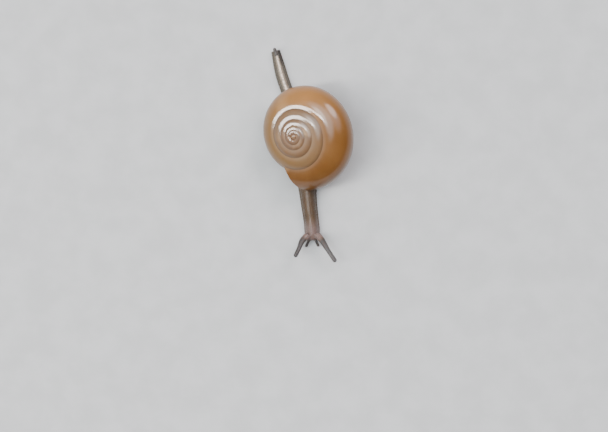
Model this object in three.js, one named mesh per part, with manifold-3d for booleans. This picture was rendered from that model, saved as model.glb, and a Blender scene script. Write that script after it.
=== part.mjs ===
// Land snail, life size, crawling: a glossy depressed shell carried over a slender body.
// Millimetres, +Z up, sole on z = 0. The head points to -Y and the tail to +Y, so the
// animal's own right side is -X. The shell coils clockwise outward (a right-handed shell).
import * as THREE from "three";
import { mergeVertices } from "three/addons/utils/BufferGeometryUtils.js";
import Module from "manifold-3d";

const wasm = await Module();
wasm.setup();

// ---------------------------------------------------------------- driving dimensions (mm)
const GAP = 0.06; // parting gap between neighbouring pieces

// Shell: a tube of oval section that winds down and out around a leaning axis. A place on
// it is given in turns: 0 is a quarter turn short of the lip's far edge, -1 one whorl before.
const APEX = new THREE.Vector3(-2.58, 2.76, 9.1); // tip of the coil's cone
const LEAN = 28.7; // degrees from upright
const LEAN_TOWARDS = 199.6; // compass of the lean, degrees from +X towards +Y
const COIL_RADIUS = 6.18; // axis to tube centre at turn 0
const COIL_DROP = 4.94; // apex down to tube centre at turn 0
const COIL_WIDTH = 0.987; // the whole coil is a little narrower from side to side
const COIL_LENGTH = 1.014; // than it is from back to front
const TUBE_HALF_WIDTH = 3.51; // at turn 0
const TUBE_HALF_HEIGHT = 3.75; // at turn 0
const CROWN_SLOPE = 0.08; // the top of the tube slopes down outward by this much
const SHOULDER = 4; // and is flat near the suture, by this power
const TUBE_SIDES = 20;
const HALF_TURN = 0.5; // the coil is joined up from lengths of half a turn
const LATE_STEPS = 12; // sections to such a length, in the outer whorls
const EARLY_STEPS = 9; // and in the spire
const SPIRE_TO = -1.5; // the spire ends at this turn
const INNER_REACH = 1.08; // the base reaches in by this share of the coil radius
const INNER_FADE = 0.5; // in full from this far down the tube's inner side
const WHORL_GROWTH = 1.422; // size from one turn to the next near the lip
const EARLY_GROWTH = 0.0177; // how much faster the early whorls widen
const LATE_GROWTH = 0.3; // the mouth widens a little more, from LATE_FROM on
const LATE_FROM = -0.35;
const DROP_POWER = 1.236; // the spire steepens slightly as it grows
const APEX_LIFT = 0.15; // the first whorls stand this much higher
const APEX_SPREAD = 0.2; // up to about this size of whorl
const FIRST_TURN = -4.8; // the shell has five whorls
const OPENING_TURNS = 0.12; // the first of them rounds up from a point over this much
const FIRST_OPENING = 0.05; // and its first section is this share of the way there
const PILLAR = { top: 0.08, foot: 0.55, height: 4.6, middle: -2.9, sides: 16 }; // along the axis
const BEAD = { radius: 0.46, middle: -0.24, sides: 12, bands: 8 }; // under the apex
const LAST_FROM = -0.2; // the last stretch, which the mouth is cut into, starts here
const PAST_LIP = 0.22; // and runs on to here, past the lip
const SHELL_WALL = 0.28; // at the lip
const LIP_POINT = new THREE.Vector3(-1.35, -6.0, 4.5); // on the lip's outer edge
const LIP_TILT = 50; // the mouth faces this many degrees below level
const LIP_TOWARDS = 196; // compass that the mouth faces, degrees from +X towards +Y
const BLOCK = 40; // a cutting block, larger than the whole snail
const MOUTH_DEPTH = 1.6; // how far the flesh is set into the tube
const COLLAR_PROUD = 0.4; // the flesh stands this far out of the lip

// Body: a flat sole under an arched back, along a gently curved line from snout to tail.
const BODY_LINE = [[0.7, -15.05], [0.58, -12.6], [0.08, -8.6], [-0.3, -4.6], [-0.85, 1.8],
  [-2.8, 8.4], [-4.45, 12.9], [-5.7, 17.7]];
const BODY_PIECES = [ // name, start and end as shares of the body line, sections
  ["head", 0, 0.095, 10],
  ["neck", 0.095, 0.262, 12],
  ["trunk_front", 0.262, 0.5, 11],
  ["trunk_rear", 0.5, 0.72, 9],
  ["tail", 0.72, 1, 16],
];
const HALF_WIDTH = [[0, 0.45], [0.012, 0.85], [0.04, 1.15], [0.1, 1.16], [0.25, 1.36], [0.4, 2.0],
  [0.55, 1.9], [0.72, 1.02], [0.9, 0.88], [1, 0.66]]; // [share of the line, flank]
const BACK_HEIGHT = [[0, 1.35], [0.012, 1.75], [0.04, 2.15], [0.1, 2.4], [0.25, 2.6], [0.4, 2.4],
  [0.55, 2.1], [0.72, 1.75], [0.9, 1.45], [1, 1.05]]; // [share of the line, height]
const FRINGE = 0.18; // the foot's edge stands out this far beyond the flank
const FRINGE_MIDDLE = 0.18; // above the sole
const FRINGE_SPREAD = 0.3; // it fades over this height
const KEEL_FROM = 0.6; // the back sharpens to a keel from here
const KEEL_FULL = 0.9; // to here
const FLANK_POWER = 2.4; // how far up the flanks stay steep
const ROUND_CROWN = 0.5; // the power that rounds the back over
const KEELED_CROWN = 0.85; // and the one that leaves a keel along it
const SOLE_POINTS = 2; // across the sole
const BACK_POINTS = 16; // over the back, from edge to edge
const HUMP_CENTRE = [-1.15, -2.6, 1.7]; // where the body rises into the shell
const HUMP_RADII = [1.9, 3.4, 2.9];
const HUMP_SIDES = 20;
const HUMP_BANDS = 14;
const HUMP_FROM = -6.2; // the rise keeps to the trunk, from this y
const HUMP_TO = 1.6; // to this y
const HUMP_FOOT = 0.4; // and stays this far above the floor

// Feelers: centre lines from root to tip; thickness as radii at root, middle, neck and bulb.
const UPPER_LINES = {
  right: [[-0.2, -14.2, 1.6], [-1.05, -15.05, 2.3], [-1.58, -16.25, 2.95], [-2.2, -17.55, 3.5]],
  left: [[1.5, -14.1, 1.6], [2.3, -14.98, 2.3], [3.2, -16.45, 3.1], [4.5, -18.4, 3.75]],
};
const LOWER_LINES = {
  right: [[0.15, -14.6, 1.05], [-0.05, -15.3, 0.95], [-0.2, -15.65, 0.85], [-0.35, -16.0, 0.78]],
  left: [[1.1, -14.55, 1.05], [1.35, -15.25, 0.95], [1.5, -15.6, 0.85], [1.65, -15.9, 0.78]],
};
const FEELER_SIDES = 10;
const FEELER_STEPS = 9;
const DOME_RINGS = 3; // over a feeler's tip
const DOME_REST = 0.3; // flat top, as a share of a ring's step
const UPPER_RADII = [0.62, 0.52, 0.4, 0.38];
const LOWER_RADII = [0.3, 0.27, 0.25, 0.27];
const EYE_RADIUS = 0.17;
const EYE_SET = 0.26; // eye centre beyond the bulb's centre
const EYE_LIFT = 0.8; // it looks this much upward for each part ahead
const EYE_SIDES = 12;
const EYE_BANDS = 8;
const HORN_LINE = [[-5.5, 16.9, 0.85], [-5.65, 17.35, 1.05], [-5.76, 17.65, 1.22],
  [-5.84, 17.9, 1.38]];
const HORN_RADII = [0.34, 0.34, 0.3, 0.27];

const FINISHES = {
  shell: { color: 0x9a6430, roughness: 0.16, metalness: 0 },
  skin: { color: 0x7d6a58, roughness: 0.5, metalness: 0 },
  feeler: { color: 0x7c7a78, roughness: 0.45, metalness: 0 },
  eye: { color: 0x0d0c0c, roughness: 0.15, metalness: 0 },
  horn: { color: 0x3b322b, roughness: 0.45, metalness: 0 },
};

// ---------------------------------------------------------------- solids and meshes
function solidOf(geometry) {
  const bare = geometry.clone();
  bare.deleteAttribute("normal");
  bare.deleteAttribute("uv");
  const merged = mergeVertices(bare, 1e-4);
  return new wasm.Manifold(new wasm.Mesh({
    numProp: 3,
    vertProperties: new Float32Array(merged.attributes.position.array),
    triVerts: new Uint32Array(merged.index.array),
  }));
}

// The biggest body of a solid: joins can leave slivers of no volume beside it.
function mainBody(solid) {
  return solid.decompose().sort((a, b) => b.volume() - a.volume())[0];
}

function meshOf(name, solid, finish) {
  const { vertProperties, triVerts } = mainBody(solid).getMesh();
  const geometry = new THREE.BufferGeometry();
  geometry.setAttribute("position", new THREE.Float32BufferAttribute(vertProperties, 3));
  geometry.setIndex(Array.from(triVerts));
  const mesh = new THREE.Mesh(geometry, new THREE.MeshStandardMaterial(FINISHES[finish]));
  mesh.name = name;
  return mesh;
}

// A closed surface over rings of equal count, with a fan over each end. Each ring runs
// anticlockwise when looked at against the direction in which the rings follow each other.
function loft(rings) {
  const count = rings[0].length;
  const points = rings.flat();
  const middle = (ring) => ring.reduce((sum, p) => sum.add(p), new THREE.Vector3())
    .divideScalar(count);
  points.push(middle(rings[0]), middle(rings.at(-1)));
  const faces = [];
  for (let i = 0; i < count; i++) {
    const next = (i + 1) % count;
    for (let k = 0; k < rings.length - 1; k++) {
      const here = k * count;
      faces.push(here + i, here + next, here + count + next);
      faces.push(here + i, here + count + next, here + count + i);
    }
    const last = (rings.length - 1) * count;
    faces.push(points.length - 2, next, i, points.length - 1, last + i, last + next);
  }
  const geometry = new THREE.BufferGeometry().setFromPoints(points);
  geometry.setIndex(faces);
  return geometry;
}

// The value at a place along a list of [place, value] pairs, eased between them.
function along(table, place) {
  const after = Math.max(1, table.findIndex(([at]) => at >= place));
  const [[from, a], [to, b]] = [table[after - 1], table[after]];
  const before = table[Math.max(after - 2, 0)];
  const beyond = table[Math.min(after + 1, table.length - 1)];
  const slopeIn = ((b - before[1]) / (to - before[0])) * (to - from);
  const slopeOut = ((beyond[1] - a) / (beyond[0] - from)) * (to - from);
  const t = (place - from) / (to - from);
  return (2 * t ** 3 - 3 * t ** 2 + 1) * a + (t ** 3 - 2 * t ** 2 + t) * slopeIn
    + (3 * t ** 2 - 2 * t ** 3) * b + (t ** 3 - t ** 2) * slopeOut;
}

const vectors = (list) => list.map(([x, y, z = 0]) => new THREE.Vector3(x, y, z));

// ---------------------------------------------------------------- shell
const lean = THREE.MathUtils.degToRad(LEAN);
const towards = THREE.MathUtils.degToRad(LEAN_TOWARDS);
const shellAxis = new THREE.Vector3(
  Math.sin(lean) * Math.cos(towards), Math.sin(lean) * Math.sin(towards), Math.cos(lean));
const shellSide = new THREE.Vector3(1, 0, 0).projectOnPlane(shellAxis).normalize();
const shellFrame = new THREE.Matrix4()
  .makeBasis(shellSide, shellAxis.clone().cross(shellSide), shellAxis).setPosition(APEX);

function whorlSize(turn) {
  return WHORL_GROWTH ** turn * Math.exp(LATE_GROWTH * Math.max(turn - LATE_FROM, 0) ** 2
    - EARLY_GROWTH * Math.min(turn, 0) ** 2);
}

// Height of the tube's wall at a place across it, for each unit of its half height.
function wallHeight(out, up) {
  if (up <= 0) return up;
  const flat = Math.max(1 - Math.abs(out) ** SHOULDER, 0) ** (1 / SHOULDER);
  const slope = 1 - CROWN_SLOPE * TUBE_HALF_WIDTH / TUBE_HALF_HEIGHT * out;
  return (out < 0 ? flat : up) * slope;
}

// One oval section of the tube, smaller all round by inset. Its base reaches in to the axis,
// and the first sections close to a rounded point.
function tubeRing(turn, inset) {
  const size = whorlSize(turn);
  const opening = Math.min(1, (turn - FIRST_TURN) / OPENING_TURNS + FIRST_OPENING);
  const start = Math.sqrt(1 - (1 - opening) ** 2);
  const compass = -Math.PI / 2 - turn * 2 * Math.PI;
  const across = COIL_WIDTH * Math.cos(compass);
  const onward = COIL_LENGTH * Math.sin(compass);
  const ring = [];
  for (let i = 0; i < TUBE_SIDES; i++) {
    const angle = (i / TUBE_SIDES) * 2 * Math.PI;
    const out = Math.cos(angle);
    const up = Math.sin(angle);
    const inner = out < 0 ? THREE.MathUtils.smoothstep(-up, 0, INNER_FADE) : 0;
    const reach = THREE.MathUtils.lerp(TUBE_HALF_WIDTH, INNER_REACH * COIL_RADIUS, inner);
    const radius = COIL_RADIUS * size + (reach * size - inset) * start * out;
    const height = (TUBE_HALF_HEIGHT * size - inset) * start * wallHeight(out, up)
      - COIL_DROP * size ** DROP_POWER + APEX_LIFT * Math.exp(-((size / APEX_SPREAD) ** 2));
    ring.push(new THREE.Vector3(radius * across, radius * onward, height)
      .applyMatrix4(shellFrame));
  }
  return ring;
}

function tube(from, to, steps, inset) {
  const rings = [];
  for (let k = 0; k <= steps; k++) {
    rings.push(tubeRing(from + ((to - from) * k) / steps, inset));
  }
  return solidOf(loft(rings));
}

// All but the last stretch, as half turns joined one after another, so that no length of
// tube meets itself, with a pillar and a bead that close the coil's centre.
function earlyWhorls(inset = 0) {
  const pillar = new THREE.CylinderGeometry(PILLAR.top, PILLAR.foot, PILLAR.height, PILLAR.sides)
    .rotateX(Math.PI / 2).translate(0, 0, PILLAR.middle).applyMatrix4(shellFrame);
  const bead = new THREE.SphereGeometry(BEAD.radius, BEAD.sides, BEAD.bands)
    .translate(0, 0, BEAD.middle).applyMatrix4(shellFrame);
  let whorls = solidOf(pillar).add(solidOf(bead));
  for (let to = LAST_FROM; to > FIRST_TURN; to -= HALF_TURN) {
    const steps = to > SPIRE_TO ? LATE_STEPS : EARLY_STEPS;
    whorls = whorls.add(tube(Math.max(to - HALF_TURN, FIRST_TURN), to, steps, inset));
  }
  return whorls;
}

// The last stretch, longer by some of its own steps.
const STEP = (PAST_LIP - LAST_FROM) / LATE_STEPS;
const lastStretch = (inset, more = 0) =>
  tube(LAST_FROM, PAST_LIP + more * STEP, LATE_STEPS + more, inset);

// A large block on one side of the mouth's plane, which is moved outward by offset.
const lipTilt = THREE.MathUtils.degToRad(LIP_TILT);
const lipTowards = THREE.MathUtils.degToRad(LIP_TOWARDS);
const mouthNormal = new THREE.Vector3(Math.cos(lipTilt) * Math.cos(lipTowards),
  Math.cos(lipTilt) * Math.sin(lipTowards), -Math.sin(lipTilt));
function mouthBlock(side, offset) {
  const turn = new THREE.Quaternion().setFromUnitVectors(new THREE.Vector3(0, 0, 1), mouthNormal);
  return solidOf(new THREE.BoxGeometry(BLOCK, BLOCK, BLOCK).translate(0, 0, side * BLOCK / 2)
    .applyQuaternion(turn)
    .translate(...LIP_POINT.clone().addScaledVector(mouthNormal, offset)));
}
const outsideMouth = (offset) => mouthBlock(1, offset);
const insideMouth = (offset) => mouthBlock(-1, offset);

function makeShell() {
  const hollow = lastStretch(SHELL_WALL, 1).intersect(outsideMouth(-MOUTH_DEPTH));
  const last = lastStretch(0).intersect(insideMouth(0)).subtract(hollow);
  return meshOf("shell", earlyWhorls().add(last), "shell");
}

// The mantle's thick edge, which fills the mouth of the shell.
function makeCollar() {
  const filling = lastStretch(SHELL_WALL + GAP)
    .intersect(outsideMouth(GAP - MOUTH_DEPTH))
    .intersect(insideMouth(COLLAR_PROUD))
    .subtract(earlyWhorls(-GAP));
  return meshOf("mantle_collar", filling, "skin");
}

// The room that the shell and its filling take, with the gap round them.
function shellRoom() {
  return earlyWhorls(-GAP).add(lastStretch(-GAP).intersect(insideMouth(COLLAR_PROUD + GAP)));
}

// ---------------------------------------------------------------- body
const bodyLine = new THREE.CatmullRomCurve3(vectors(BODY_LINE), false, "centripetal");

// One section of the body, square to its line: flat sole, fringe, flanks and back.
function bodyRing(share) {
  const place = bodyLine.getPointAt(share);
  const tangent = bodyLine.getTangentAt(share);
  const side = new THREE.Vector3(-tangent.y, tangent.x, 0);
  const width = along(HALF_WIDTH, share);
  const height = along(BACK_HEIGHT, share);
  const keel = THREE.MathUtils.smoothstep(share, KEEL_FROM, KEEL_FULL);
  const crown = THREE.MathUtils.lerp(ROUND_CROWN, KEELED_CROWN, keel);
  const fringe = FRINGE * Math.min(1, width);
  const ring = [];
  const add = (across, up) => ring.push(
    place.clone().addScaledVector(side, across).setZ(up));
  const reach = (level) => width * (1 - level ** FLANK_POWER) ** crown
    + fringe * Math.exp(-(((level * height - FRINGE_MIDDLE) / FRINGE_SPREAD) ** 2));
  for (let i = 0; i <= BACK_POINTS; i++) {
    const level = Math.sin((i / BACK_POINTS) * Math.PI);
    add(Math.sign(BACK_POINTS / 2 - i) * reach(level), level * height);
  }
  for (let i = 1; i < SOLE_POINTS; i++) add((i * 2 / SOLE_POINTS - 1) * reach(0), 0);
  return ring;
}

function bodyLength(from, to, sections) {
  const rings = [];
  for (let k = 0; k <= sections; k++) {
    rings.push(bodyRing(from + ((to - from) * k) / sections));
  }
  return solidOf(loft(rings));
}

// ---------------------------------------------------------------- feelers, eyes and horn
// A round tapering rod with a domed tip; thicker all over by extra.
function feelerSolid(line, radii, extra = 0) {
  const curve = new THREE.CatmullRomCurve3(vectors(line), false, "centripetal");
  const frames = curve.computeFrenetFrames(FEELER_STEPS);
  const table = radii.map((radius, i) => [i / (radii.length - 1), radius]);
  const ringAt = (centre, k, radius) => {
    const ring = [];
    for (let i = 0; i < FEELER_SIDES; i++) {
      const angle = (i / FEELER_SIDES) * 2 * Math.PI;
      ring.push(centre.clone()
        .addScaledVector(frames.normals[k], Math.cos(angle) * radius)
        .addScaledVector(frames.binormals[k], Math.sin(angle) * radius));
    }
    return ring;
  };
  const rings = [];
  for (let k = 0; k <= FEELER_STEPS; k++) {
    const share = k / FEELER_STEPS;
    rings.push(ringAt(curve.getPointAt(share), k, along(table, share) + extra));
  }
  const tip = radii.at(-1) + extra;
  const ahead = frames.tangents[FEELER_STEPS];
  for (let k = 1; k <= DOME_RINGS; k++) {
    const angle = (k / (DOME_RINGS + DOME_REST)) * Math.PI / 2;
    const centre = curve.getPointAt(1).addScaledVector(ahead, Math.sin(angle) * tip);
    rings.push(ringAt(centre, FEELER_STEPS, Math.cos(angle) * tip));
  }
  return solidOf(loft(rings));
}

// The eye sits in the top of the feeler's bulb.
function eyeSolid(line, extra = 0) {
  const [before, bulb] = vectors(line.slice(-2));
  const ahead = bulb.clone().sub(before).normalize();
  const look = ahead.add(new THREE.Vector3(0, 0, EYE_LIFT)).normalize();
  const centre = bulb.clone().addScaledVector(look, EYE_SET);
  return solidOf(new THREE.SphereGeometry(EYE_RADIUS + extra, EYE_SIDES, EYE_BANDS)
    .translate(...centre));
}

// ---------------------------------------------------------------- the whole snail
const snail = new THREE.Group();
snail.add(makeShell(), makeCollar());

const pieces = {};
for (const [name, from, to, sections] of BODY_PIECES) {
  const halfGap = GAP / 2 / bodyLine.getLength();
  const start = from === 0 ? 0 : from + halfGap;
  const end = to === 1 ? 1 : to - halfGap;
  pieces[name] = bodyLength(start, end, sections);
}

const hump = solidOf(new THREE.SphereGeometry(1, HUMP_SIDES, HUMP_BANDS).scale(...HUMP_RADII)
  .translate(...HUMP_CENTRE));
const overTrunk = solidOf(new THREE.BoxGeometry(BLOCK, HUMP_TO - HUMP_FROM, BLOCK)
  .translate(0, (HUMP_TO + HUMP_FROM) / 2, HUMP_FOOT + BLOCK / 2));
const room = shellRoom();
pieces.trunk_front = pieces.trunk_front
  .add(hump.intersect(outsideMouth(COLLAR_PROUD + GAP)).intersect(overTrunk))
  .subtract(room);
pieces.trunk_rear = pieces.trunk_rear.subtract(room);

for (const side of ["left", "right"]) {
  const upperLine = UPPER_LINES[side];
  const lowerLine = LOWER_LINES[side];
  pieces.head = pieces.head.subtract(feelerSolid(upperLine, UPPER_RADII, GAP))
    .subtract(feelerSolid(lowerLine, LOWER_RADII, GAP));
  const upper = feelerSolid(upperLine, UPPER_RADII).subtract(eyeSolid(upperLine, GAP));
  snail.add(meshOf(`upper_feeler_${side}`, upper, "feeler"));
  snail.add(meshOf(`lower_feeler_${side}`, feelerSolid(lowerLine, LOWER_RADII), "feeler"));
  snail.add(meshOf(`eye_${side}`, eyeSolid(upperLine), "eye"));
}
pieces.tail = pieces.tail.subtract(feelerSolid(HORN_LINE, HORN_RADII, GAP));
snail.add(meshOf("caudal_horn", feelerSolid(HORN_LINE, HORN_RADII), "horn"));
for (const [name, solid] of Object.entries(pieces)) snail.add(meshOf(name, solid, "skin"));

export default snail;
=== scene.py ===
import math

import bpy
import numpy as np
from mathutils import Matrix, Vector, noise


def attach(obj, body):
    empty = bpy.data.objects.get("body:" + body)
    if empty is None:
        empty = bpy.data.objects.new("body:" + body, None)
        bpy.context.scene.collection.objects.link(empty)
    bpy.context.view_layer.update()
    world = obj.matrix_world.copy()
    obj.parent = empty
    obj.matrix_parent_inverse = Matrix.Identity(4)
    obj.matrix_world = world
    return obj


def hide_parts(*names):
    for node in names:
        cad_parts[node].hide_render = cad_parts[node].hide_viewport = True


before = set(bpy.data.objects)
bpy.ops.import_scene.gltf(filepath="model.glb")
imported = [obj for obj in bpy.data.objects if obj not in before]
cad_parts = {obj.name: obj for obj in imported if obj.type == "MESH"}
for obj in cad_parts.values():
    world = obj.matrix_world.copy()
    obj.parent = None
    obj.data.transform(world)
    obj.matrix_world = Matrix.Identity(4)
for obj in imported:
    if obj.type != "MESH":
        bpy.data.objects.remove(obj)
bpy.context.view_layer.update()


# ------------------------------------------------------------------------------- the shell
# One thin tube of horn and chalk, laid down at its own mouth while the snail grows. It winds
# to the right for about five turns round a leaning axis, and every turn is fused to the
# one before it along the suture. It is amber, a little clear, and very glossy.
MM = 0.001  # lengths are in millimetres until a piece is scaled into place
APEX = np.array((-2.58, 2.76, 9.1))
AXIS_LEAN = math.radians(28.7)
AXIS_COMPASS = math.radians(199.6)
COIL_RADIUS = 6.18
COIL_DROP = 4.94
DROP_POWER = 1.236
APEX_LIFT = 0.15
APEX_SPREAD = 0.2  # the lift fades over this much of the whorl size
COIL_STRETCH = np.array((0.987, 1.014, 1))  # a little longer than wide
TUBE_HALF_WIDTH = 3.51
TUBE_HALF_HEIGHT = 3.75
CROWN_SLOPE = 0.08  # the top of each turn slopes down outward
SHOULDER = 4  # and is flat near the suture, by this power
INNER_REACH = 1.08 * COIL_RADIUS  # the base of each turn reaches in to the axis
WHORL_GROWTH = 1.422  # size from one turn to the next near the lip
EARLY_GROWTH = 0.0177  # the early turns widen a little faster
LATE_GROWTH = 0.3  # and the mouth does, from LATE_FROM on
LATE_FROM = -0.35
FIRST_TURN = -4.8
OPENING_TURNS = 0.12  # it rounds up from a point over this much
LAST_FROM = -0.2  # the stretch that the mouth is cut into
PAST_LIP = 0.22
HALF_TURN = 0.5
RINGS_TO_A_TURN = 130
RING_POINTS = 112
SHELL_WALL = 0.2
MOUTH_DEPTH = 1.6
LIP_POINT = Vector((-1.35, -6.0, 4.5))
LIP_TILT = math.radians(50)
LIP_COMPASS = math.radians(196)

axis = Vector((math.sin(AXIS_LEAN) * math.cos(AXIS_COMPASS),
               math.sin(AXIS_LEAN) * math.sin(AXIS_COMPASS), math.cos(AXIS_LEAN)))
sideways = (Vector((1, 0, 0)) - axis * axis.x).normalized()
shell_turned = np.array((sideways, axis.cross(sideways), axis)).T


def smoothstep(value, low, high):
    t = np.clip((value - low) / (high - low), 0, 1)
    return t * t * (3 - 2 * t)


def whorl_size(turn):
    late, early = np.maximum(turn - LATE_FROM, 0), np.minimum(turn, 0)
    return WHORL_GROWTH ** turn * np.exp(LATE_GROWTH * late ** 2 - EARLY_GROWTH * early ** 2)


def drop(size):
    """How far the tube's centre lies below the apex."""
    return COIL_DROP * size ** DROP_POWER - APEX_LIFT * np.exp(-(size / APEX_SPREAD) ** 2)


def rounding(turn):
    opening = np.clip((turn - FIRST_TURN) / OPENING_TURNS + 0.05, 0.01, 1)
    return np.sqrt(1 - (1 - opening) ** 2)


def tube_reach(out, up):
    inner = np.where(out < 0, smoothstep(-up, 0, 0.5), 0)
    return TUBE_HALF_WIDTH + (INNER_REACH - TUBE_HALF_WIDTH) * inner


def top_height(out):
    """Height of the tube's top for each unit of its half height, and the slope's share."""
    flat = (1 - np.abs(out) ** SHOULDER) ** (1 / SHOULDER)
    round_over = np.sqrt(1 - out ** 2)
    slope = 1 - CROWN_SLOPE * TUBE_HALF_WIDTH / TUBE_HALF_HEIGHT * out
    return np.where(out < 0, flat, round_over) * slope


def tube_points(turn, angle, inset=0.0):
    """Points of the tube's surface in the model's frame, angle 0 outward and 90 degrees up."""
    size, start = whorl_size(turn), rounding(turn)
    out, up = np.cos(angle), np.sin(angle)
    radius = COIL_RADIUS * size + (tube_reach(out, up) * size - inset) * start * out
    tall = np.where(up > 0, top_height(out), up)
    height = (TUBE_HALF_HEIGHT * size - inset) * start * tall - drop(size)
    compass = -math.pi / 2 - turn * 2 * math.pi
    own = np.stack((radius * np.cos(compass), radius * np.sin(compass),
                    height + 0 * compass), axis=-1)
    return (own * COIL_STRETCH) @ shell_turned.T + APEX


def new_object(name, points, faces):
    mesh = bpy.data.meshes.new(name)
    mesh.from_pydata(np.asarray(points).tolist(), [], faces)
    made = bpy.data.objects.new(name, mesh)
    bpy.context.scene.collection.objects.link(made)
    return made


def closed_tube(name, rings):
    """A closed surface over rings of points, with a fan over each end."""
    count, sides = rings.shape[:2]
    here = np.arange(sides)
    after = (here + 1) % sides
    row = (np.arange(count - 1) * sides)[:, None]
    walls = np.stack((row + here, row + after, row + sides + after, row + sides + here), -1)
    first = np.stack((0 * here + count * sides, after, here), -1)
    last = np.stack((0 * here + count * sides + 1, (count - 1) * sides + here,
                     (count - 1) * sides + after), -1)
    points = np.concatenate((rings.reshape(-1, 3), rings[:1].mean(1), rings[-1:].mean(1)))
    return new_object(name, points,
                      walls.reshape(-1, 4).tolist() + first.tolist() + last.tolist())


def tube_length(start, end, inset=0.0):
    steps = max(8, round((end - start) * RINGS_TO_A_TURN))
    turns = np.linspace(start, end, steps + 1)
    angles = np.linspace(0, 2 * math.pi, RING_POINTS, endpoint=False)
    return closed_tube("tube", tube_points(turns[:, None], angles[None, :], inset))


def combine(base, tool, operation):
    """base joined to, cut by or kept inside tool, which is used up."""
    step = base.modifiers.new("shaping", "BOOLEAN")
    step.operation, step.solver, step.object = operation, "MANIFOLD", tool
    ready = base.evaluated_get(bpy.context.evaluated_depsgraph_get())
    shaped = bpy.data.meshes.new_from_object(ready)
    base.modifiers.clear()
    base.data = shaped
    bpy.data.objects.remove(tool)
    return base


def copy_of(thing):
    twin = thing.copy()
    twin.data = thing.data.copy()
    bpy.context.scene.collection.objects.link(twin)
    return twin


def early_whorls():
    """All turns but the last stretch, with a core that fills the coil's centre."""
    heights = np.array((-5.2, -0.7, -0.35, -0.12, 0.03, 0.14, 0.2, 0.225))
    widths = np.array((0.55, 0.3, 0.43, 0.5, 0.48, 0.38, 0.24, 0.08))
    around = np.linspace(0, 2 * math.pi, 24, endpoint=False)
    core = np.stack((widths[:, None] * np.cos(around), widths[:, None] * np.sin(around),
                     heights[:, None] + 0 * around), -1) @ shell_turned.T + APEX
    whorls = closed_tube("core", core)
    end = LAST_FROM
    while end > FIRST_TURN:
        start = max(end - HALF_TURN, FIRST_TURN)
        whorls = combine(whorls, tube_length(start, end), "UNION")
        end -= HALF_TURN
    return whorls


mouth_faces = Vector((math.cos(LIP_TILT) * math.cos(LIP_COMPASS),
                      math.cos(LIP_TILT) * math.sin(LIP_COMPASS), -math.sin(LIP_TILT)))


def block(corners):
    return new_object("block", corners, [(0, 1, 3, 2), (4, 6, 7, 5), (0, 4, 5, 1),
                                         (2, 3, 7, 6), (0, 2, 6, 4), (1, 5, 7, 3)])


def mouth_block(side, offset):
    """A large block outside (1) or inside (-1) the mouth's plane, moved outward by offset."""
    turned = mouth_faces.to_track_quat("Z", "Y")
    half = 20
    middle = LIP_POINT + mouth_faces * (offset + side * half)
    return block([middle + turned @ Vector((x * half, y * half, z * half))
                  for x in (-1, 1) for y in (-1, 1) for z in (-1, 1)])


def out_of_mouth(points):
    """How far points lie outside the mouth's plane."""
    return (points - np.array(LIP_POINT)) @ np.array(mouth_faces)


whorls = early_whorls()
hollow = combine(tube_length(LAST_FROM, PAST_LIP + 0.02, SHELL_WALL),
                 mouth_block(1, -MOUTH_DEPTH), "INTERSECT")
hollow = combine(hollow, copy_of(whorls), "DIFFERENCE")
last_stretch = combine(tube_length(LAST_FROM, PAST_LIP), mouth_block(-1, 0), "INTERSECT")
shell = combine(combine(whorls, last_stretch, "UNION"), hollow, "DIFFERENCE")
shell.name = shell.data.name = "coiled_shell"


def read_whorls(points, near=None):
    """Turn, angle round the tube and misfit of points, for the best whorl or one near a turn."""
    own = (points - APEX) @ shell_turned / COIL_STRETCH
    radius = np.hypot(own[:, 0], own[:, 1])
    fraction = (-(np.arctan2(own[:, 1], own[:, 0]) + math.pi / 2) / (2 * math.pi)) % 1
    turns = fraction[:, None] + np.arange(-6, 1)[None, :]
    turns = np.where(turns < FIRST_TURN - 0.02, FIRST_TURN - 0.02, turns)
    beyond = turns > PAST_LIP
    size, start = whorl_size(turns), rounding(turns)
    up = (own[:, 2:3] + drop(size)) / (TUBE_HALF_HEIGHT * size * start)
    side = radius[:, None] - COIL_RADIUS * size
    out = side / (tube_reach(side, up) * size * start)
    slope = 1 - CROWN_SLOPE * TUBE_HALF_WIDTH / TUBE_HALF_HEIGHT * np.clip(out, -1, 1)
    level = np.where(up > 0, up / slope, up)
    power = np.where((up > 0) & (out < 0), SHOULDER, 2)
    away = (np.abs(out) ** power + np.abs(level) ** power) ** (1 / power) - 1
    away *= TUBE_HALF_HEIGHT * size
    up = np.where(power > 2, np.sqrt(np.clip(1 - out ** 2, 0, 1)), level)
    if near is None:
        cost = np.where(beyond, 1e3, np.abs(away))
    else:
        cost = np.abs(turns - near[:, None])
    best = cost.argmin(1)
    rows = np.arange(len(points))
    angle = np.arctan2(up, out)
    before, later = np.maximum(best - 1, 0), np.minimum(best + 1, 6)
    below = np.where(beyond[rows, later] | (later == best), 9.0, away[rows, later])
    return (turns[rows, best], angle[rows, best], away[rows, best],
            away[rows, before], below)


def numbers_of(items, name, kind=float, width=1):
    values = np.empty(len(items) * width, kind)
    items.foreach_get(name, values)
    return values if width == 1 else values.reshape(-1, width)


def smooth(thing):
    faces = thing.data.polygons
    faces.foreach_set("use_smooth", np.ones(len(faces), bool))


# Every corner reads its place on the coil. Past the mouth it belongs to the turn before.
mesh = shell.data
face_sizes = numbers_of(mesh.polygons, "loop_total", int)
face_of = np.repeat(np.arange(len(face_sizes)), face_sizes)
centres = numbers_of(mesh.polygons, "center", width=3)
corners = numbers_of(mesh.vertices, "co", width=3)[numbers_of(mesh.loops, "vertex_index", int)]
face_turn, _, face_misfit, _, _ = read_whorls(centres)
on_tube = np.abs(face_misfit) < 0.03
face_turn[(out_of_mouth(centres) > 0.05) & (face_turn > LAST_FROM)] -= 1
turn, angle, _, above, below = read_whorls(corners, face_turn[face_of])
below[out_of_mouth(corners) > -0.05] = 9.0

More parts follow.
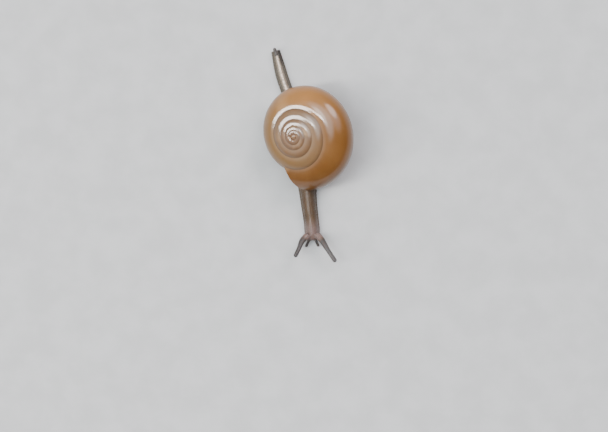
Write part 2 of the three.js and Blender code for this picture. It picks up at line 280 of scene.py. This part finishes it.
# The coil's own curve gives the shading normals, so the facets do not show in the gloss.
step = 1e-3
across = tube_points(turn, angle + step) - tube_points(turn, angle - step)
onward = tube_points(turn + step, angle) - tube_points(turn - step, angle)
normals = np.cross(across, onward)
normals /= np.maximum(np.linalg.norm(normals, axis=1), 1e-12)[:, None]
flat = numbers_of(mesh.polygons, "normal", width=3)[face_of]
agree = (normals * flat).sum(1)
normals *= np.where(agree < 0, -1, 1)[:, None]
plain = ~on_tube[face_of] | (np.abs(agree) < 0.6)
normals[plain] = flat[plain]
for name, values in (("turn", turn), ("girth", angle), ("above", above), ("below", below)):
    mesh.attributes.new(name, "FLOAT", "CORNER").data.foreach_set("value", values)
smooth(shell)
mesh.normals_split_custom_set(normals.tolist())


def node_maker(material):
    """Short ways to add a node to a material and to set or link its sockets."""
    tree = material.node_tree

    def put(socket, value):
        if isinstance(value, bpy.types.NodeSocket):
            tree.links.new(value, socket)
        else:
            socket.default_value = value

    def add(kind, settings=(), **inputs):
        node = tree.nodes.new(kind)
        for name, value in dict(settings).items():
            setattr(node, name, value)
        for name, value in inputs.items():
            put(node.inputs[name.replace("_", " ")], value)
        return node

    return add, put


def new_finish(name):
    material = bpy.data.materials.new(name)
    material.use_nodes = True
    add, put = node_maker(material)
    return material, material.node_tree.nodes["Principled BSDF"].inputs, add, put


def sums(add, operation, first, second, third=None):
    """One step of arithmetic on a value that varies over the surface."""
    node = add("ShaderNodeMath", {"operation": operation})
    for socket, value in zip(node.inputs, (first, second, third)):
        if isinstance(value, bpy.types.NodeSocket):
            node.id_data.links.new(value, socket)
        elif value is not None:
            socket.default_value = value
    return node.outputs[0]


def ramp(add, value, stops, interpolation="EASE"):
    """A colour for each value, between stops of (value, colour) in the range 0 to 1."""
    node = add("ShaderNodeValToRGB", Fac=value)
    node.color_ramp.interpolation = interpolation
    while len(node.color_ramp.elements) < len(stops):
        node.color_ramp.elements.new(0.5)
    for element, (at, colour) in zip(node.color_ramp.elements, stops):
        element.position = at
        element.color = (*colour, 1)
    return node.outputs["Color"]


def mixed(add, share, first, second, blend="MIX"):
    """Two colours mixed, or one laid on the other, by a share that varies."""
    node = add("ShaderNodeMix", {"data_type": "RGBA", "blend_type": blend})
    sockets = [s for s in node.inputs if s.enabled]
    for socket, value in zip(sockets, (share, first, second)):
        if isinstance(value, bpy.types.NodeSocket):
            node.id_data.links.new(value, socket)
        else:
            socket.default_value = (*value, 1) if isinstance(value, tuple) else value
    return next(s for s in node.outputs if s.enabled)


shell_finish, gloss, add, put = new_finish("glossy_amber_shell")
turn_at = add("ShaderNodeAttribute", {"attribute_name": "turn"}).outputs["Fac"]
girth_at = add("ShaderNodeAttribute", {"attribute_name": "girth"}).outputs["Fac"]
above_at = add("ShaderNodeAttribute", {"attribute_name": "above"}).outputs["Fac"]
below_at = add("ShaderNodeAttribute", {"attribute_name": "below"}).outputs["Fac"]


def growth_noise(per_turn, per_girth, detail, seed):
    """Streaks that cross the whorl from suture to suture, as the mouth left them."""
    slanted = sums(add, "MULTIPLY_ADD", girth_at, 0.012, turn_at)
    place = add("ShaderNodeCombineXYZ", X=sums(add, "MULTIPLY", slanted, per_turn),
                Y=sums(add, "MULTIPLY", girth_at, per_girth), Z=seed)
    return add("ShaderNodeTexNoise", {"noise_dimensions": "3D"}, Vector=place.outputs[0],
               Scale=1.0, Detail=detail, Roughness=0.55).outputs["Fac"]


fine_growth = growth_noise(150, 0.7, 3, 0.0)
broad_growth = growth_noise(16, 0.5, 3, 4.0)
pauses = growth_noise(5, 0.15, 1, 9.0)
age = add("ShaderNodeMapRange", Value=turn_at, From_Min=-5.35, From_Max=0.25).outputs[0]
# The colour follows the shell's age. Its last stops darken the final stretch to the mouth: painted
# shade for the shadow low down at the mouth.
amber_with_painted_mouth_shade = ramp(add, age, ((0.0, (0.15, 0.085, 0.052)), (0.35, (0.15, 0.085, 0.05)),
                        (0.7, (0.135, 0.08, 0.042)), (0.82, (0.14, 0.078, 0.028)),
                        (0.87, (0.235, 0.104, 0.028)), (0.91, (0.125, 0.05, 0.009)),
                        (0.955, (0.1, 0.038, 0.006)), (1.0, (0.07, 0.022, 0.003))))
streaked = mixed(add, sums(add, "MULTIPLY", sums(add, "SUBTRACT", broad_growth, 0.35), 1.1),
                 amber_with_painted_mouth_shade, (0.16, 0.07, 0.02))
paused = mixed(add, sums(add, "MULTIPLY",
                         add("ShaderNodeMapRange", Value=pauses, From_Min=0.6,
                             From_Max=0.72).outputs[0], 0.35),
               streaked, (0.42, 0.26, 0.13))
margin = add("ShaderNodeMapRange", Value=above_at, From_Min=0.0, From_Max=0.45, To_Min=1.0,
             To_Max=0.0)
pale_margin = mixed(add, sums(add, "MULTIPLY", margin.outputs[0], 0.12), paused,
                    (0.42, 0.30, 0.20))
# Painted shade: the colour darkens in the suture's crease and on the part of each turn that lies
# just under the next one.
suture_painted_shade = add("ShaderNodeMapRange", Value=above_at, From_Min=0.0, From_Max=0.08, To_Min=1.0,
              To_Max=0.0)
underlap_painted_shade = add("ShaderNodeMapRange", Value=below_at, From_Min=0.0, From_Max=0.3, To_Min=1.0,
            To_Max=0.0)
shade = sums(add, "MAXIMUM", sums(add, "MULTIPLY", suture_painted_shade.outputs[0], 0.8),
             sums(add, "MULTIPLY", underlap_painted_shade.outputs[0], 0.65))
put(gloss["Base Color"], mixed(add, shade, pale_margin, (0.07, 0.035, 0.015)))
put(gloss["Roughness"], sums(add, "MULTIPLY_ADD", fine_growth, 0.18, 0.3))
gloss["Specular IOR Level"].default_value = 0.15
gloss["Coat Weight"].default_value = 0.65
gloss["Coat Roughness"].default_value = 0.06
gloss["Coat IOR"].default_value = 1.55
gloss["Subsurface Weight"].default_value = 0.12
gloss["Subsurface Radius"].default_value = (1.0, 0.5, 0.2)
gloss["Subsurface Scale"].default_value = 0.0008
relief = sums(add, "MULTIPLY_ADD", broad_growth, 2.0, fine_growth)
bumps = add("ShaderNodeBump", Height=relief, Strength=0.35, Distance=0.00003)
put(gloss["Normal"], bumps.outputs[0])
faint = add("ShaderNodeBump", Height=relief, Strength=0.12, Distance=0.00003)
put(gloss["Coat Normal"], faint.outputs[0])
shell.data.materials.clear()
shell.data.materials.append(shell_finish)
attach(shell, "root")
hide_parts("shell")


# ------------------------------------------------------------------------------- the flesh
# One soft moist body: head, neck, foot, the hump that rises into the shell, the mantle's
# thick edge in the shell's mouth, and four feelers, all under one skin of low warts with
# furrows between them. A groove runs round above the foot's edge, and the tail is keeled.
BODY_LINE = ((0.7, -15.05), (0.58, -12.6), (0.08, -8.6), (-0.3, -4.6), (-0.85, 1.8),
             (-2.8, 8.4), (-4.45, 12.9), (-5.7, 17.7))
HALF_WIDTH = ((0, 0.45), (0.012, 0.85), (0.04, 1.15), (0.1, 1.16), (0.25, 1.36), (0.4, 2.0),
              (0.55, 1.9), (0.72, 1.02), (0.9, 0.88), (1, 0.66))
BACK_HEIGHT = ((0, 1.35), (0.012, 1.75), (0.04, 2.15), (0.1, 2.4), (0.25, 2.6), (0.4, 2.4),
               (0.55, 2.1), (0.72, 1.75), (0.9, 1.45), (1, 1.05))
FRINGE = 0.18
FRINGE_HEIGHT = 0.3
UPPER_FEELERS = (
    ((-0.2, -14.2, 1.6), (-1.05, -15.05, 2.3), (-1.58, -16.25, 2.95), (-2.2, -17.55, 3.5)),
    ((1.5, -14.1, 1.6), (2.3, -14.98, 2.3), (3.2, -16.45, 3.1), (4.5, -18.4, 3.75)))
LOWER_FEELERS = (
    ((0.15, -14.6, 1.05), (-0.05, -15.3, 0.95), (-0.2, -15.65, 0.85), (-0.35, -16.0, 0.78)),
    ((1.1, -14.55, 1.05), (1.35, -15.25, 0.95), (1.5, -15.6, 0.85), (1.65, -15.9, 0.78)))
UPPER_RADII = (0.62, 0.52, 0.4, 0.38)
LOWER_RADII = (0.3, 0.27, 0.25, 0.27)
COLLAR_PROUD = 0.4
SKIN_GAP = 0.06
VOXEL = 0.08
BODY_STEPS = 280  # places along the body line


def curve_points(line, count):
    """Evenly spaced points and directions of a centripetal curve through a line of points."""
    knots = np.array([tuple(p) + (0.0,) * (3 - len(p)) for p in line])
    ends = np.vstack((2 * knots[0] - knots[1], knots, 2 * knots[-1] - knots[-2]))
    fine = []
    for k in range(1, len(ends) - 2):
        a, b, c, d = ends[k - 1:k + 3]
        dt = [max(np.linalg.norm(q - p) ** 0.5, 1e-4) for p, q in ((a, b), (b, c), (c, d))]
        first = ((b - a) / dt[0] - (c - a) / (dt[0] + dt[1]) + (c - b) / dt[1]) * dt[1]
        last = ((c - b) / dt[1] - (d - b) / (dt[1] + dt[2]) + (d - c) / dt[2]) * dt[1]
        t = np.linspace(0, 1, 60, endpoint=False)[:, None]
        fine.append((2 * t ** 3 - 3 * t ** 2 + 1) * b + (t ** 3 - 2 * t ** 2 + t) * first
                    + (3 * t ** 2 - 2 * t ** 3) * c + (t ** 3 - t ** 2) * last)
    fine = np.vstack(fine + [knots[-1:]])
    lengths = np.concatenate(([0], np.cumsum(np.linalg.norm(np.diff(fine, axis=0), axis=1))))
    even = np.linspace(0, lengths[-1], count)
    points = np.stack([np.interp(even, lengths, fine[:, i]) for i in range(3)], -1)
    ahead = np.gradient(points, axis=0)
    return points, ahead / np.linalg.norm(ahead, axis=1)[:, None], lengths[-1]


def eased(table, places):
    """Values along a table of (place, value) pairs, eased between them."""
    at, values = np.array(table).T
    k = np.clip(np.searchsorted(at, places), 1, len(at) - 1)
    before, beyond = np.maximum(k - 2, 0), np.minimum(k + 1, len(at) - 1)
    span = at[k] - at[k - 1]
    slope_in = (values[k] - values[before]) / (at[k] - at[before]) * span
    slope_out = (values[beyond] - values[k - 1]) / (at[beyond] - at[k - 1]) * span
    t = (places - at[k - 1]) / span
    return ((2 * t ** 3 - 3 * t ** 2 + 1) * values[k - 1] + (t ** 3 - 2 * t ** 2 + t) * slope_in
            + (3 * t ** 2 - 2 * t ** 3) * values[k] + (t ** 3 - t ** 2) * slope_out)


body_path, body_ahead, body_length = curve_points(BODY_LINE, BODY_STEPS + 1)
shares = np.linspace(0, 1, BODY_STEPS + 1)
half_width = eased(HALF_WIDTH, shares)[:, None]
back_height = eased(BACK_HEIGHT, shares)[:, None]
crown = 0.5 + 0.35 * smoothstep(shares, 0.6, 0.9)[:, None]
arch = np.linspace(0, math.pi, 57)
level = np.sin(arch)[None, :]
reach = (half_width * (1 - np.minimum(level, 1) ** 2.4) ** crown
         + FRINGE * np.minimum(1, half_width)
         * np.exp(-((level * back_height - 0.6 * FRINGE_HEIGHT) / FRINGE_HEIGHT) ** 2))
over = np.sign(np.round(np.cos(arch), 9)) * reach
sole = reach[:, :1] * np.linspace(-1, 1, 20)[None, 1:-1]
sideways = np.stack((-body_ahead[:, 1], body_ahead[:, 0], 0 * shares), -1)
rings = (body_path[:, None, :] + sideways[:, None, :]
         * np.concatenate((over, sole), axis=1)[:, :, None])
rings[:, :, 2] = np.concatenate((level * back_height, 0 * sole), axis=1)
foot = closed_tube("foot", rings)


def rod(name, line, radii, grown=0.0, count=60, sides=28):
    """A round tapering rod with a domed tip, such as a feeler."""
    path, ahead, _ = curve_points(line, count)
    thick = eased(tuple(zip(np.linspace(0, 1, len(radii)), radii)),
                  np.linspace(0, 1, count)) + grown
    tip = np.linspace(0, math.pi / 2, 9)[1:] * 0.96
    path = np.vstack((path, path[-1] + np.sin(tip)[:, None] * ahead[-1] * thick[-1]))
    thick = np.concatenate((thick, np.cos(tip) * thick[-1]))
    ahead = np.vstack((ahead, np.repeat(ahead[-1:], len(tip), axis=0)))
    first = np.cross(ahead, (0, 0, 1))
    first /= np.linalg.norm(first, axis=1)[:, None]
    second = np.cross(ahead, first)
    around = np.linspace(0, 2 * math.pi, sides, endpoint=False)
    return closed_tube(name, path[:, None, :] + thick[:, None, None]
                       * (first[:, None, :] * np.cos(around)[None, :, None]
                          + second[:, None, :] * np.sin(around)[None, :, None]))


def ball(name, centre, radii, bands=24):
    """A closed ball or egg."""
    tilt = np.linspace(0, math.pi, bands + 1)[1:-1]
    around = np.linspace(0, 2 * math.pi, 2 * bands, endpoint=False)
    return closed_tube(name, np.array(centre) + np.array(radii) * np.stack(
        (np.sin(tilt)[:, None] * np.cos(around), np.sin(tilt)[:, None] * np.sin(around),
         -np.cos(tilt)[:, None] + 0 * around), -1))


hump = combine(ball("hump", (-1.15, -2.6, 1.7), (1.9, 3.4, 2.9)),
               mouth_block(1, COLLAR_PROUD - 0.3), "INTERSECT")
hump = combine(hump, block([(x, y, z) for x in (-20, 20) for y in (-6.2, 1.6)
                            for z in (0.4, 20)]), "INTERSECT")
collar = combine(tube_length(LAST_FROM, PAST_LIP, SHELL_WALL + 0.03),
                 mouth_block(1, SKIN_GAP - MOUTH_DEPTH), "INTERSECT")
collar = combine(collar, mouth_block(-1, COLLAR_PROUD), "INTERSECT")
parts = [foot, hump, collar]
parts += [rod("feeler", line, UPPER_RADII) for line in UPPER_FEELERS]
parts += [rod("feeler", line, LOWER_RADII) for line in LOWER_FEELERS]
flesh = parts[0]
for part in parts[1:]:
    flesh = combine(flesh, part, "UNION")
flesh.name = flesh.data.name = "soft_body"
even_out = flesh.modifiers.new("even_mesh", "REMESH")
even_out.mode, even_out.voxel_size, even_out.adaptivity = "VOXEL", VOXEL, 0
relax = flesh.modifiers.new("relax", "SMOOTH")
relax.factor, relax.iterations = 0.5, 6
flesh.data = bpy.data.meshes.new_from_object(
    flesh.evaluated_get(bpy.context.evaluated_depsgraph_get()))
flesh.modifiers.clear()


def nearest_on(points, path):
    """For each point: place along a path from 0 to 1, distance, and nearest path point."""
    best, far = np.zeros(len(points), int), np.full(len(points), 1e9)
    for k, spot in enumerate(path):
        apart = ((points - spot) ** 2).sum(1)
        closer = apart < far
        best[closer], far[closer] = k, apart[closer]
    return best / (len(path) - 1), np.sqrt(far), path[best]


skin_points = numbers_of(flesh.data.vertices, "co", width=3)
skin_out = numbers_of(flesh.data.vertices, "normal", width=3)
flat_path = body_path * (1, 1, 0)
share_at, _, spot = nearest_on(skin_points * (1, 1, 0), flat_path[::2])
k_at = np.round(share_at * BODY_STEPS).astype(int)
along = share_at * body_length
aside = ((skin_points - spot) * sideways[k_at]).sum(1)
wide, tall = half_width[k_at, 0], back_height[k_at, 0]
height = skin_points[:, 2]
across_back = aside / wide

on_feeler = np.zeros(len(skin_points))
feeler_along = np.zeros(len(skin_points))
for line, radii in [(p, UPPER_RADII) for p in UPPER_FEELERS] + \
        [(p, LOWER_RADII) for p in LOWER_FEELERS]:
    path, _, length = curve_points(line, 80)
    place, gap, _ = nearest_on(skin_points, path)
    thick = np.interp(place, np.linspace(0, 1, len(radii)), radii)
    mine = smoothstep(-gap / thick, -1.5, -1.15) * smoothstep(place, 0.16, 0.34)
    on_feeler = np.maximum(on_feeler, mine)
    feeler_along = np.where(mine > 0.3, place * length, feeler_along)

from_mouth = out_of_mouth(skin_points)
shell_turn, _, shell_away, _, _ = read_whorls(skin_points)
on_collar = (smoothstep(from_mouth, -2.0, -0.4) * smoothstep(-from_mouth, -0.75, -0.45)
             * (shell_turn > -0.2) * smoothstep(-shell_away, -0.1, 0.25))
on_sole = smoothstep(-height, -0.12, -0.04)
on_fringe = smoothstep(-height, -0.62, -0.5) * (1 - on_sole) * (1 - on_feeler)
on_body = (1 - on_feeler) * (1 - on_collar) * (1 - on_sole)
on_head = smoothstep(-along, -4.2, -1.6) * (1 - on_feeler)
on_tail = smoothstep(share_at, 0.68, 0.76)
# Painted shadow: the tail's end is darkened on its side away from the light.
dark_tip = smoothstep(share_at, 0.9, 0.95) * smoothstep(-across_back, 0.25, 0.6)

stretch = np.array((1 / 0.27, 1 / 0.42, 1 / 0.25))
cells = np.empty(len(skin_points))
for i, place in enumerate((skin_points * stretch).tolist()):
    near = noise.voronoi(place)[0]
    cells[i] = near[1] - near[0]
warts = smoothstep(cells, 0.0, 0.45)
relief = (warts - 0.6) * on_body * (0.035 - 0.018 * on_head - 0.012 * on_tail
                                    ) * smoothstep(height, 0.5, 0.75)
relief += (warts - 0.6) * 0.010 * on_feeler
for side in (-0.2, 0.2):
    relief -= (0.03 * np.exp(-((aside - side) / 0.07) ** 2) * (height > 0.55 * tall)
               * smoothstep(along, 1.3, 2.2) * (share_at < 0.5) * on_body)
groove = np.exp(-((height - 0.6) / 0.07) ** 2) * on_body * (np.abs(across_back) > 0.5)
relief -= 0.055 * groove * smoothstep(share_at, 0.02, 0.05)
relief += 0.016 * np.sin(along * 2 * math.pi / 0.42) * on_fringe
slant = along - 0.9 * np.maximum(tall - height, 0)
tail_lines = np.exp(-((slant / 0.62) % 1 - 0.5) ** 2 / 0.012)
relief -= 0.022 * tail_lines * on_tail * on_body * (height > 0.66) * (height < 0.9 * tall)
relief += 0.012 * np.sin(feeler_along * 2 * math.pi / 0.2) * on_feeler * (
    1 - smoothstep(feeler_along, 1.2, 2.6))
relief += 0.03 * on_collar * np.sin(from_mouth * 7)

snout = np.array((0.72, -15.0, 0.62))
to_mouth = skin_points - snout
slit = np.exp(-(to_mouth[:, 0] / 0.42) ** 2 - ((to_mouth[:, 2] + 0.12) / 0.07) ** 2)
cleft = np.exp(-(to_mouth[:, 0] / 0.06) ** 2 - ((to_mouth[:, 2] + 0.3) / 0.22) ** 2)
lips = np.exp(-((np.abs(to_mouth[:, 0]) - 0.3) / 0.2) ** 2
              - ((to_mouth[:, 2] + 0.32) / 0.2) ** 2)
facing = smoothstep(-skin_points[:, 1], 14.55, 14.9) * (1 - on_feeler)
relief += facing * (0.09 * lips - 0.13 * slit - 0.1 * cleft)

breath = np.array((-3.6, -3.8, 5.27))  # the breathing pore, in the collar
pore = np.exp(-((skin_points - breath) ** 2).sum(1) / 0.22 ** 2) * on_collar
relief -= 0.22 * pore
flesh.data.vertices.foreach_set("co", (skin_points + skin_out * relief[:, None]).ravel())
for name, values in (("wart", warts), ("along", along), ("aside", across_back),
                     ("level", np.clip(height / tall, 0, 2)), ("feeler", on_feeler),
                     ("collar", on_collar), ("groove", groove), ("tail", on_tail),
                     ("slant", tail_lines), ("head", on_head), ("dark_tip", dark_tip),
                     ("pore", pore)):
    flesh.data.attributes.new(name, "FLOAT", "POINT").data.foreach_set("value", values)

skin_finish, moist, add, put = new_finish("moist_warty_skin")


def reading(name):
    return add("ShaderNodeAttribute", {"attribute_name": name}).outputs["Fac"]


def stretched(value, low, high, to_low=0.0, to_high=1.0):
    return add("ShaderNodeMapRange", Value=value, From_Min=low, From_Max=high,
               To_Min=to_low, To_Max=to_high).outputs[0]


place = add("ShaderNodeTexCoord").outputs["Object"]
fine_cells = add("ShaderNodeTexVoronoi", {"feature": "DISTANCE_TO_EDGE"},
                 Vector=add("ShaderNodeMapping", Vector=place,
                            Scale=(5200, 3400, 5600)).outputs[0], Scale=1.0).outputs["Distance"]
blotches = add("ShaderNodeTexNoise", Vector=place, Scale=900.0, Detail=4.0,
               Roughness=0.6).outputs["Fac"]
specks = add("ShaderNodeTexNoise", Vector=place, Scale=7000.0, Detail=2.0).outputs["Fac"]
back = ramp(add, reading("level"), ((0.0, (0.085, 0.06, 0.038)), (0.25, (0.062, 0.04, 0.021)),
                                   (0.7, (0.058, 0.031, 0.011)), (1.0, (0.064, 0.034, 0.012))))
neck = mixed(add, stretched(blotches, 0.35, 0.7, 0.0, 0.5), back, (0.038, 0.021, 0.009))
# Up the tail's sides the colour pales to the keel on top: partly the keel's own pale colour and
# partly a painted highlight along the ridge.
tail_colour_and_keel_highlight = ramp(add, reading("level"), ((0.0, (0.08, 0.07, 0.048)), (0.64, (0.064, 0.054, 0.038)),
                                        (0.89, (0.23, 0.185, 0.14)), (1.0, (0.72, 0.6, 0.49))))
body_colour = mixed(add, reading("tail"), neck, tail_colour_and_keel_highlight)
head_colour = mixed(add, sums(add, "MULTIPLY", reading("head"), 0.75), body_colour,
                    (0.17, 0.115, 0.105))
feeler_colour = mixed(add, reading("feeler"), head_colour,
                      ramp(add, specks, ((0.35, (0.029, 0.027, 0.027)),
                                         (0.6, (0.048, 0.045, 0.045)))))
collar_colour = mixed(add, reading("collar"), feeler_colour,
                      ramp(add, blotches, ((0.35, (0.26, 0.19, 0.155)),
                                           (0.65, (0.40, 0.31, 0.26)))))
# The breathing pore is painted nearly black: painted shade for the depth of the opening.
pore_painted_shade = mixed(add, stretched(reading("pore"), 0.15, 0.6), collar_colour, (0.02, 0.012, 0.009))
furrow = stretched(reading("wart"), 0.0, 0.5, 0.55, 0.0)
furrowed = mixed(add, furrow, pore_painted_shade, (0.075, 0.052, 0.038))
grooved = mixed(add, sums(add, "MULTIPLY", reading("groove"), 0.6), furrowed,
                (0.06, 0.045, 0.035))
# The tail's end is darkened nearly to black on its shaded side, as a painted shadow.
tip_shadowed = mixed(add, sums(add, "MULTIPLY", reading("dark_tip"), 0.85), grooved,
               (0.012, 0.01, 0.009))
lined = mixed(add, sums(add, "MULTIPLY", sums(add, "MULTIPLY", reading("slant"),
                                              reading("tail")), 0.4),
              tip_shadowed, (0.11, 0.09, 0.07))
freckled = mixed(add, stretched(specks, 0.58, 0.7, 0.0, 0.45), lined, (0.06, 0.045, 0.035))
put(moist["Base Color"], freckled)
put(moist["Roughness"], stretched(blotches, 0.3, 0.7, 0.28, 0.48))
moist["Specular IOR Level"].default_value = 0.22
moist["Coat Weight"].default_value = 0.08
moist["Coat Roughness"].default_value = 0.2
moist["Subsurface Weight"].default_value = 0.25
moist["Subsurface Radius"].default_value = (1.0, 0.45, 0.3)
moist["Subsurface Scale"].default_value = 0.0004
grit = sums(add, "MULTIPLY_ADD", stretched(fine_cells, 0.0, 0.25), 1.0,
            sums(add, "MULTIPLY", specks, 0.5))
put(moist["Normal"], add("ShaderNodeBump", Height=grit, Strength=0.5,
                         Distance=0.00002).outputs[0])
flesh.data.materials.clear()
flesh.data.materials.append(skin_finish)

# The eyes are seated in the skin of the upper feelers' tips, and the shell on the hump.
EYE_RADIUS = 0.17
EYE_SET = 0.26
eye_centres = []
for line in UPPER_FEELERS:
    before, bulb = (np.array(p) for p in line[-2:])
    look = (bulb - before) / np.linalg.norm(bulb - before) + np.array((0, 0, 0.8))
    eye_centres.append(bulb + look / np.linalg.norm(look) * EYE_SET)
    flesh = combine(flesh, ball("socket", eye_centres[-1], [EYE_RADIUS + 0.005] * 3),
                    "DIFFERENCE")
flesh = combine(flesh, copy_of(shell), "DIFFERENCE")
smooth(flesh)
for piece in (shell, flesh):
    piece.data.transform(Matrix.Scale(MM, 4))
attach(flesh, "root")
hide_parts("mantle_collar", "head", "neck", "trunk_front", "trunk_rear", "tail",
            "upper_feeler_left", "upper_feeler_right", "lower_feeler_left",
            "lower_feeler_right")


# -------------------------------------------------------------------------------- the eyes
# A small black ball at the tip of each upper feeler, flush with the skin, wet and shiny.
eye_finish, wet, add, put = new_finish("wet_black_eye")
clouds = add("ShaderNodeTexNoise", Scale=9000.0, Detail=2.0).outputs["Fac"]
put(wet["Base Color"], ramp(add, clouds, ((0.35, (0.004, 0.004, 0.005)),
                                         (0.7, (0.02, 0.015, 0.013)))))
put(wet["Roughness"], sums(add, "MULTIPLY_ADD", clouds, 0.1, 0.1))
wet["Coat Weight"].default_value = 1.0
wet["Coat Roughness"].default_value = 0.04
for name, centre in zip(("right", "left"), eye_centres):
    eye = ball("eyeball_" + name, centre, [EYE_RADIUS] * 3)
    eye.data.transform(Matrix.Scale(MM, 4))
    smooth(eye)
    eye.data.materials.append(eye_finish)
    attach(eye, "root")
    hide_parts("eye_" + name)


# ------------------------------------------------------------------------------- the horn
# A short dark fleshy horn that leans back over the cut-off tip of the tail, above the pore
# that makes slime. It is firm, ringed with fine wrinkles, and moist.
HORN_LINE = ((-5.5, 16.9, 0.85), (-5.65, 17.35, 1.05), (-5.76, 17.65, 1.22),
             (-5.84, 17.9, 1.38))
HORN_RADII = (0.34, 0.34, 0.3, 0.27)
RING_HEIGHT = 0.012
horn = rod("tail_horn", HORN_LINE, HORN_RADII, count=90, sides=48)
horn_points = numbers_of(horn.data.vertices, "co", width=3)
horn_out = numbers_of(horn.data.vertices, "normal", width=3)
horn_path, _, _ = curve_points(HORN_LINE, 60)
place, _, _ = nearest_on(horn_points, horn_path)
rings = np.sin(place * 2 * math.pi * 7) * RING_HEIGHT * (place < 0.97)
horn.data.vertices.foreach_set("co", (horn_points + horn_out * rings[:, None]).ravel())
horn.data.attributes.new("ring", "FLOAT", "POINT").data.foreach_set("value", rings / RING_HEIGHT)
horn.data.transform(Matrix.Scale(MM, 4))
smooth(horn)
horn_finish, firm, add, put = new_finish("dark_horn_skin")
tint = add("ShaderNodeTexNoise", Scale=5000.0, Detail=3.0).outputs["Fac"]
# The rings are painted darker in their troughs and paler on their crests: painted shade that
# follows the wrinkles.
rings_painted_shade = ramp(add, add("ShaderNodeMapRange", Value=add(
    "ShaderNodeAttribute", {"attribute_name": "ring"}).outputs["Fac"], From_Min=-1.0,
    From_Max=1.0).outputs[0], ((0.0, (0.016, 0.012, 0.010)), (1.0, (0.055, 0.043, 0.035))))
put(firm["Base Color"], mixed(add, tint, rings_painted_shade, (0.035, 0.026, 0.02)))
put(firm["Roughness"], sums(add, "MULTIPLY_ADD", tint, 0.2, 0.3))
put(firm["Normal"], add("ShaderNodeBump", Height=tint, Strength=0.4,
                        Distance=0.00002).outputs[0])
firm["Coat Weight"].default_value = 0.4
firm["Coat Roughness"].default_value = 0.2
horn.data.materials.append(horn_finish)
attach(horn, "root")
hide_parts("caudal_horn")


# -------------------------------------------------------------------- floor, light, camera
# A pale matt floor under the model, broad soft lights, the brightest of them on the left,
# and a camera that looks straight down with the head towards the bottom of the picture.
floor = new_object("floor", [(-2, -2, 0), (2, -2, 0), (2, 2, 0), (-2, 2, 0)], [(0, 1, 2, 3)])
floor_finish, matt, add, put = new_finish("pale_floor")
grain = add("ShaderNodeTexNoise", Scale=900.0, Detail=3.0)
put(matt["Base Color"], ramp(add, grain.outputs["Fac"], ((0.3, (0.37, 0.367, 0.36)),
                                                        (0.7, (0.41, 0.407, 0.4)))))
matt["Roughness"].default_value = 0.85
floor.data.materials.append(floor_finish)

world = bpy.data.worlds.new("soft_studio")
bpy.context.scene.world = world
world.use_nodes = True
sky = world.node_tree.nodes["Background"].inputs
add, put = node_maker(world)
heading = add("ShaderNodeTexCoord").outputs["Generated"]


def facing_way(compass, elevation):
    flat = math.cos(math.radians(elevation))
    return Vector((flat * math.cos(math.radians(compass)),
                   flat * math.sin(math.radians(compass)), math.sin(math.radians(elevation))))


def leaning(way):
    """How far each direction of the sky leans towards one way, from -1 to 1."""
    node = add("ShaderNodeVectorMath", {"operation": "DOT_PRODUCT"})
    put(node.inputs[0], heading)
    node.inputs[1].default_value = way
    return node.outputs["Value"]


def patch(compass, elevation, inner, outer, radiance, colour):
    """A soft round patch of sky, full out to one angle and gone at another."""
    near, gone = math.cos(math.radians(inner)), math.cos(math.radians(outer))
    share = add("ShaderNodeMapRange", {"interpolation_type": "SMOOTHSTEP"},
                Value=leaning(facing_way(compass, elevation)), From_Min=gone, From_Max=near,
                To_Min=0.0, To_Max=radiance / 10).outputs[0]
    return mixed(add, share, (0, 0, 0), colour)


sky_colour = ramp(add, stretched(leaning(facing_way(135, 25)), -1.0, 1.0),
                  ((0.0, (0.014, 0.0145, 0.015)), (0.5, (0.025, 0.026, 0.027)),
                   (1.0, (0.055, 0.057, 0.06))))
for soft_patch in (patch(52, 44, 6, 19, 11.0, (1.0, 0.92, 0.94)),
                   patch(38, 52, 5, 34, 2.8, (1.0, 0.92, 0.97)),
                   patch(150, 76, 5, 34, 6.0, (0.8, 0.92, 1.0)),
                   patch(172, 66, 2, 15, 13.0, (1.0, 0.99, 1.0))):
    sky_colour = mixed(add, 1.0, sky_colour, soft_patch, "ADD")
put(sky["Color"], sky_colour)
sky["Strength"].default_value = 10.0


def strip_light(name, start, end, away, width, radiance, colour):
    """A long soft light of even brightness that faces the model, between two directions."""
    first, last = (facing_way(*way) * away for way in (start, end))
    long_way = (last - first).normalized()
    middle = (first + last) / 2
    back = (middle - long_way * middle.dot(long_way)).normalized()
    light = bpy.data.lights.new(name, "AREA")
    light.shape, light.size, light.size_y = "RECTANGLE", (last - first).length, width
    light.energy = radiance * light.size * width * math.pi
    light.color = colour
    lamp = bpy.data.objects.new(name, light)
    lamp.matrix_world = Matrix.Translation(middle) @ Matrix(
        (long_way, back.cross(long_way), back)).transposed().to_4x4()
    bpy.context.scene.collection.objects.link(lamp)


strip_light("key_light", (190, 27), (186, 66), 0.6, 0.05, 48.0, (1.0, 0.98, 0.96))

camera = bpy.data.objects.new("camera", bpy.data.cameras.new("camera"))
bpy.context.scene.collection.objects.link(camera)
bpy.context.scene.camera = camera
PIXEL = 0.0001714  # metres to a pixel, in the plane of the shell's rim
STANDOFF = 0.45
camera.data.sensor_width = 36
camera.data.lens = 36 * (STANDOFF - 0.004) / (608 * PIXEL)
camera.location = (-4.5 * PIXEL, -18 * PIXEL, STANDOFF)
camera.data.shift_y = -45 / 608
camera.data.clip_start, camera.data.clip_end = 0.01, 20
